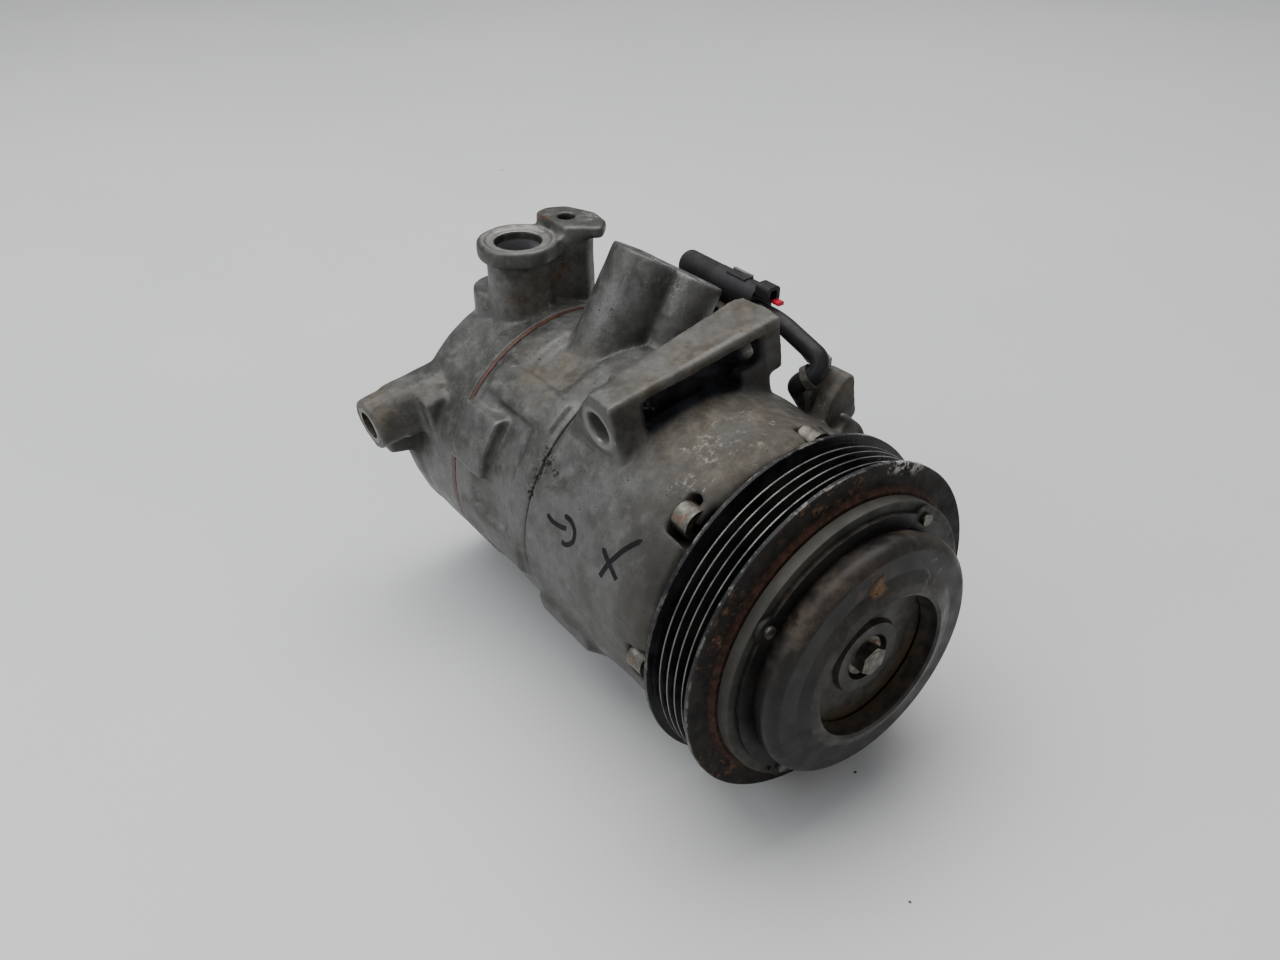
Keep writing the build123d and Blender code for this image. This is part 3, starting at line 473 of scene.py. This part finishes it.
def hub_paint():
    """Dark grey hub with brown dirt on top, wear and a dusty dish."""
    p = Paint("hub_paint", 0.42, 0.0, 0.2)
    r, y = p.radius(), p.axis("Y")
    colour = p.mix(p.step(p.noise(45.0, 5.0), 0.35, 0.7), (0.009, 0.009, 0.009), (0.024, 0.022, 0.021))
    grey = p.step(p.noise(26.0, 3.0), 0.50, 0.66, 0.0, 0.5)
    colour = p.mix(grey, colour, (0.038, 0.037, 0.034))
    soil = p.maths("MULTIPLY", p.upward(-0.2, 0.75), p.step(p.noise(62.0, 6.0, 0.65), 0.36, 0.62, 0.1, 0.85))
    soil_tone = p.mix(p.step(p.noise(260.0, 5.0), 0.35, 0.68), (0.026, 0.020, 0.015), (0.073, 0.059, 0.044))
    colour = p.mix(soil, colour, soil_tone)
    lump = p.near((-0.0052, -0.0295, 0.0332), 0.6, 4.2, 1.6, 260.0)
    halo = p.near((-0.0075, -0.0290, 0.0350), 2, 10, 4.0, 260.0)
    colour = p.mix(
        p.both(halo, p.step(p.noise(320.0, 5.0), 0.44, 0.62, 0.0, 0.6)),
        colour,
        (0.069, 0.041, 0.021),
    )
    colour = p.mix(p.both(lump, p.step(p.noise(520.0, 4.0), 0.34, 0.5)), colour, (0.155, 0.084, 0.034))
    wear = p.both(
        p.near((0.0175, -0.0285, 0.0262), 2, 9, 4.0, 200.0),
        p.step(p.noise(380.0, 5.0), 0.52, 0.64),
    )
    colour = p.mix(p.maths("MULTIPLY", wear, 0.4), colour, (0.172, 0.165, 0.149))
    # the dish's wall is dark and its floor is dusty and brown near the edge
    floor_ring = p.both(p.step(r, 0.0262, 0.0250), p.step(y, -0.0300, -0.0275))
    dust = p.mix(p.step(p.noise(170.0, 6.0, 0.65), 0.34, 0.68), (0.020, 0.018, 0.017), (0.061, 0.057, 0.048))
    colour = p.mix(p.maths("MULTIPLY", floor_ring, 0.85), colour, dust)
    below = p.both(floor_ring, p.along(r, 0.0205, 0.0250, 0.0015), p.step(p.axis("Z"), 0.004, -0.008))
    colour = p.mix(
        p.both(below, p.step(p.noise(240.0, 5.0), 0.38, 0.6, 0.1, 0.75)),
        colour,
        (0.073, 0.051, 0.028),
    )
    scuff = p.noise(90.0, 5.0, 0.7, 2.0, p.scaled((1.0, 1.0, 5.0)))
    colour = p.mix(p.step(scuff, 0.62, 0.70, 0.0, 0.3), colour, (0.076, 0.074, 0.068))
    pale_rim = p.both(
        p.along(r, 0.0262, 0.0292, 0.0008),
        p.step(y, -0.0296, -0.0303),
        p.step(p.noise(150.0, 4.0), 0.35, 0.65),
    )
    colour = p.mix(p.maths("MULTIPLY", pale_rim, 0.4), colour, (0.099, 0.092, 0.079))
    rough = p.maths(
        "ADD",
        p.step(p.noise(130.0, 5.0), 0.3, 0.7, 0.28, 0.50),
        p.maths("MULTIPLY", soil, 0.22),
        True,
    )
    p.bump(p.noise(260.0, 5.0), 0.12, 0.7)
    p.bump(lump, 1.0, 1.0)
    return p.done(colour, rough)


paints = {
    "cast_aluminium": cast_aluminium(),
    "gasket": gasket_paint(),
    "spring_steel": steel("spring_steel", (0.25, 0.25, 0.26), (0.42, 0.42, 0.43), 0.30),
    "bearing_steel": steel("bearing_steel", (0.38, 0.38, 0.39), (0.52, 0.52, 0.53), 0.20),
    "bolt_steel": steel("bolt_steel", (0.085, 0.082, 0.070), (0.185, 0.176, 0.150), 0.42, 420.0, 0.3),
    "black_rubber": plain("black_rubber", (0.012, 0.012, 0.012), (0.024, 0.024, 0.024), 0.62, 900.0),
    "pulley_paint": pulley_paint(),
    "armature_steel": armature_paint(),
    "hub_paint": hub_paint(),
    "coil_steel": plain("coil_steel", (0.012, 0.012, 0.012), (0.030, 0.028, 0.026), 0.5, 500.0),
    "copper": plain("copper", (0.14, 0.06, 0.03), (0.22, 0.10, 0.05), 0.5, 700.0),
    "black_plastic": plain("black_plastic", (0.013, 0.013, 0.014), (0.026, 0.026, 0.028), 0.45, 1400.0, 0.04),
    "red_plastic": plain("red_plastic", (0.55, 0.012, 0.03), (0.75, 0.02, 0.05), 0.35, 900.0, 0.02),
    "zinc_strip": steel("zinc_strip", (0.11, 0.105, 0.092), (0.25, 0.24, 0.215), 0.45, 260.0, 0.35),
    "piston_alloy": steel("piston_alloy", (0.48, 0.48, 0.47), (0.60, 0.60, 0.59), 0.3, 380.0),
    "brass_valve": steel("brass_valve", (0.42, 0.30, 0.11), (0.58, 0.44, 0.18), 0.3, 380.0),
}
slot_of = {s["node"]: s["material_slot"] for s in frame["record"]["subparts"]}


def dress(obj, slot_name):
    obj.data.materials.clear()
    obj.data.materials.append(paints[slot_name])


for name, obj in nodes.items():
    dress(obj, slot_of[name])


# ---- floor ----
def floor_paint():
    p = Paint("floor", 0.55)
    colour = p.mix(p.step(p.noise(2.2, 3.0), 0.35, 0.65), (0.66, 0.665, 0.67), (0.70, 0.70, 0.695))
    colour = p.mix(p.step(p.noise(900.0, 2.0), 0.3, 0.7, 0.0, 0.04), colour, (0.50, 0.50, 0.50))
    for x, y, size in ((230.1, 585.5, 0.7), (6.5, -23.1, 0.45), (-17.1, -69.1, 0.4)):
        spot = p.near((x * MM, y * MM, FLOOR_Z), size, size * 1.6)
        colour = p.mix(spot, colour, (0.06, 0.055, 0.05))
    p.bump(p.noise(700.0, 3.0), 0.05, 0.3)
    return p.done(colour)


floor_mesh = bpy.data.meshes.new("floor")
corners = [(-3, -3, FLOOR_Z), (3, -3, FLOOR_Z), (3, 3, FLOOR_Z), (-3, 3, FLOOR_Z)]
floor_mesh.from_pydata(corners, [], [(0, 1, 2, 3)])
floor = bpy.data.objects.new("floor", floor_mesh)
bpy.context.scene.collection.objects.link(floor)
floor_mesh.materials.append(floor_paint())


# ---- castings: the CAD solid with soft cast edges and extra relief ----
def capsule_chain(points, radius):
    """Overlapping balls along a line, in metres, as vertices and faces for a voxel union."""
    ball = bpy.data.meshes.new("ball")
    made = bmesh.new()
    bmesh.ops.create_icosphere(made, subdivisions=2, radius=1.0)
    made.to_mesh(ball)
    made.free()
    verts = np.array([v.co for v in ball.vertices])
    faces = np.array([list(f.vertices) for f in ball.polygons])
    bpy.data.meshes.remove(ball)
    points = np.array(points, float)
    out_v, out_f = [], []
    for a, b in zip(points, points[1:]):
        count = max(1, int(np.ceil(np.linalg.norm(b - a) / (radius * 0.45))))
        for k in range(count + 1):
            out_f.append(faces + len(verts) * len(out_v))
            out_v.append(verts * radius + a + (b - a) * k / count)
    return np.vstack(out_v), np.vstack(out_f)


def recast(node, extras, keep, voxel=0.00065, passes=12):
    """A copy of a casting with every edge softened, relief added, and the machined places kept sharper."""
    source = nodes[node].data
    co = np.zeros(len(source.vertices) * 3)
    source.vertices.foreach_get("co", co)
    verts = [co.reshape(-1, 3)]
    faces = [list(f.vertices) for f in source.polygons]
    offset = len(verts[0])
    for points, radius in extras:
        v, f = capsule_chain(points, radius * MM)
        faces += (f + offset).tolist()
        verts.append(v)
        offset += len(v)
    mesh = bpy.data.meshes.new(node + "_rough")
    mesh.from_pydata(np.vstack(verts).tolist(), [], faces)
    piece = bpy.data.objects.new(node + "_rough", mesh)
    bpy.context.scene.collection.objects.link(piece)
    remesh = piece.modifiers.new("remesh", "REMESH")
    remesh.mode = "VOXEL"
    remesh.voxel_size = voxel
    bpy.context.view_layer.update()
    fine = bpy.data.meshes.new_from_object(piece.evaluated_get(bpy.context.evaluated_depsgraph_get()))
    bpy.data.objects.remove(piece)
    bpy.data.meshes.remove(mesh)
    count = len(fine.vertices)
    p = np.zeros(count * 3)
    fine.vertices.foreach_get("co", p)
    p = p.reshape(-1, 3)
    edges = np.zeros(len(fine.edges) * 2, np.int64)
    fine.edges.foreach_get("vertices", edges)
    a, b = edges.reshape(-1, 2).T
    degree = np.bincount(a, minlength=count) + np.bincount(b, minlength=count)
    weight = np.full(count, 1.0)
    for origin, axis, reach, depth in keep:
        rel = p - np.array(origin)
        axis = np.array(axis) / np.linalg.norm(axis)
        height = rel @ axis
        away = np.linalg.norm(rel - height[:, None] * axis, axis=1)
        inside = (away < reach * MM) & (np.abs(height) < depth * MM)
        weight[inside] = 0.12
    for k in range(passes):
        mean = np.empty_like(p)
        for i in range(3):
            total = np.bincount(a, p[b, i], count) + np.bincount(b, p[a, i], count)
            mean[:, i] = total / np.maximum(degree, 1)
        p += (mean - p) * (0.6 * weight)[:, None]
    wave = sum(np.sin(p @ np.array(k) + s) for k, s in (((310, 170, -260), 0.3), ((-190, 400, 230), 1.7), ((520, -330, 410), 2.6)))
    normal = np.zeros(count * 3)
    fine.vertices.foreach_set("co", p.astype(np.float32).ravel())
    fine.update()
    fine.vertices.foreach_get("normal", normal)
    p += normal.reshape(-1, 3) * (wave * 0.00005 * weight)[:, None]
    fine.vertices.foreach_set("co", p.astype(np.float32).ravel())
    fine.polygons.foreach_set("use_smooth", np.ones(len(fine.polygons), bool))
    fine.update()
    fine.name = node + "_cast"
    casting = bpy.data.objects.new(node + "_cast", fine)
    bpy.context.scene.collection.objects.link(casting)
    dress(casting, "cast_aluminium")
    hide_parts(node)
    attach(casting, BODY)
    return casting


def arc(first, last, y0, y1, radius, count=14):
    ts = np.linspace(0.0, 1.0, count)
    return [on_body(first + (last - first) * t, y0 + (y1 - y0) * t, radius) for t in ts]


tower = np.array([math.sin(math.radians(31)), 0.0, math.cos(math.radians(31))])
front_extras = [
    # ring and drip of the left mounting eye
    ([uyw(-27.0, 64.4 + 7.2 * math.cos(t), 58.7 + 7.2 * math.sin(t)) for t in np.linspace(0, 2 * math.pi, 19)], 1.7),
    ([uyw(-26, 56.8, 54), uyw(-25.5, 55.6, 50.5)], 2.2),
    ([uyw(-17, 56.5, 56), uyw(-18, 54.5, 53.5)], 2.0),
    # step of the front barrel and the swell behind the belt
    (arc(60, 172, 47.5, 47.5, 54.6), 1.0),
    (arc(96, 128, 18.5, 20.5, 51.5), 2.6),
    # rib from the ear to the rim
    ([uyw(49, 33, 36), uyw(55, 31.5, 28), uyw(57, 31, 20)], 1.6),
]
block_extras = [
    (arc(96, 128, 129.2, 129.4, 54.6), 1.1),
    (arc(98, 121, 125.6, 121.6, 54.0), 1.2),
    (arc(129, 141, 128.4, 130.6, 54.8), 1.3),
    (arc(141, 172, 130.6, 130.0, 54.6), 1.1),
]
head_extras = [
    ([(-0.010 + 0.0136 * math.cos(t), 0.155 + 0.0136 * math.sin(t), 0.0765) for t in np.linspace(0, 2 * math.pi, 25)], 1.6),
    ([uyw(-56, 160, 39), uyw(-48, 160, 38), uyw(-40, 156, 38)], 2.0),
    ([(0.004, 0.151, 0.052), (-0.004, 0.146, 0.055), (-0.016, 0.148, 0.052)], 2.4),
]
front_casting = recast("front_housing", front_extras, [
    (uyw(7, 64.4, 58.7), U, 6.4, 40),
    (uyw(42, 64.4, -50.9), U, 6.4, 20),
    ((0, 0, 0), (0, 1, 0), 18.5, 14),
    ((0, 0.0866, 0), (0, 1, 0), 70, 1.2),
])
block_casting = recast("cylinder_block", block_extras, [
    ((0, 0.0865, 0), (0, 1, 0), 70, 1.2),
    ((0, 0.1362, 0), (0, 1, 0), 70, 1.0),
    (tower * 0.0795, tower, 60, 1.0),
])
head_casting = recast("rear_head", head_extras, [
    ((0, 0.1379, 0), (0, 1, 0), 70, 1.0),
    ((-0.010, 0.155, 0.080), (0, 0, 1), 14.4, 2.2),
    ((-0.010, 0.155, 0.068), (0, 0, 1), 9.8, 14),
    ((0.0115, 0.1545, 0.080), (0, 0, 1), 4.6, 6),
    (uyw(-70.4, 166.2, 30), U, 8.8, 4),
])


# ---- marker strokes on the front housing ----
def stroke(name, points, width):
    """A thin ribbon of ink that lies on the front housing, through points of (angle, y)."""
    dense = []
    pts = np.array(points, float)
    for k in range(len(pts) - 1):
        before = pts[max(k - 1, 0)]
        after = pts[min(k + 2, len(pts) - 1)]
        for t in np.linspace(0, 1, 8, endpoint=False):
            m0, m1 = (pts[k + 1] - before) / 2, (after - pts[k]) / 2
            h = (2 * t**3 - 3 * t**2 + 1, t**3 - 2 * t**2 + t, -2 * t**3 + 3 * t**2, t**3 - t**2)
            dense.append(h[0] * pts[k] + h[1] * m0 + h[2] * pts[k + 1] + h[3] * m1)
    dense.append(pts[-1])
    flat = np.array([(math.radians(a) * 55.0, y) for a, y in dense])
    direction = np.gradient(flat, axis=0)
    direction /= np.linalg.norm(direction, axis=1)[:, None]
    sideways = np.stack([-direction[:, 1], direction[:, 0]], 1)
    taper = np.clip(np.linspace(0, len(flat) - 1, len(flat)) / 2.0, 0.45, 1.0)
    verts, faces = [], []
    for (s, y), n, t in zip(flat, sideways, taper):
        for k in range(4):
            off = (k / 3 - 0.5) * width * t
            angle, yy = math.degrees((s + n[0] * off) / 55.0), y + n[1] * off
            start = Vector(on_body(angle, yy, 75.0))
            hit, normal, _, _ = ink_tree.ray_cast(start, Vector(on_body(angle, yy, 0.0)) - start)
            verts.append(Vector(on_body(angle, yy, 55.3)) if hit is None else hit + normal * 0.00006)
    for i in range(len(flat) - 1):
        for k in range(3):
            faces.append((i * 4 + k, i * 4 + k + 1, i * 4 + k + 5, i * 4 + k + 4))
    mesh = bpy.data.meshes.new(name)
    mesh.from_pydata(verts, [], faces)
    piece = bpy.data.objects.new(name, mesh)
    bpy.context.scene.collection.objects.link(piece)
    mesh.materials.append(ink)
    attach(piece, BODY)


ink_tree = BVHTree.FromObject(front_casting, bpy.context.evaluated_depsgraph_get())
ink_paint = Paint("marker_ink", 0.5, 0.0, 0.15)
ink_tone = ink_paint.mix(
    ink_paint.step(ink_paint.noise(500.0, 4.0), 0.4, 0.7),
    (0.004, 0.004, 0.005),
    (0.012, 0.012, 0.014),
)
ink = ink_paint.done(ink_tone)
stroke("marker_short", [(160.0, 75.1), (160.9, 71.2), (160.3, 66.5), (159.4, 63.9)], 1.7)
stroke(
    "marker_hook",
    [(155.8, 66.6), (155.9, 62.8), (158.0, 59.4), (161.6, 58.9), (164.6, 61.8), (165.0, 64.6)],
    1.7,
)
stroke("marker_cross_a", [(156.0, 45.2), (158.8, 40.8), (162.2, 35.2)], 1.9)
stroke("marker_cross_b", [(144.9, 31.2), (151.0, 35.9), (159.1, 40.4), (165.6, 42.9)], 1.8)
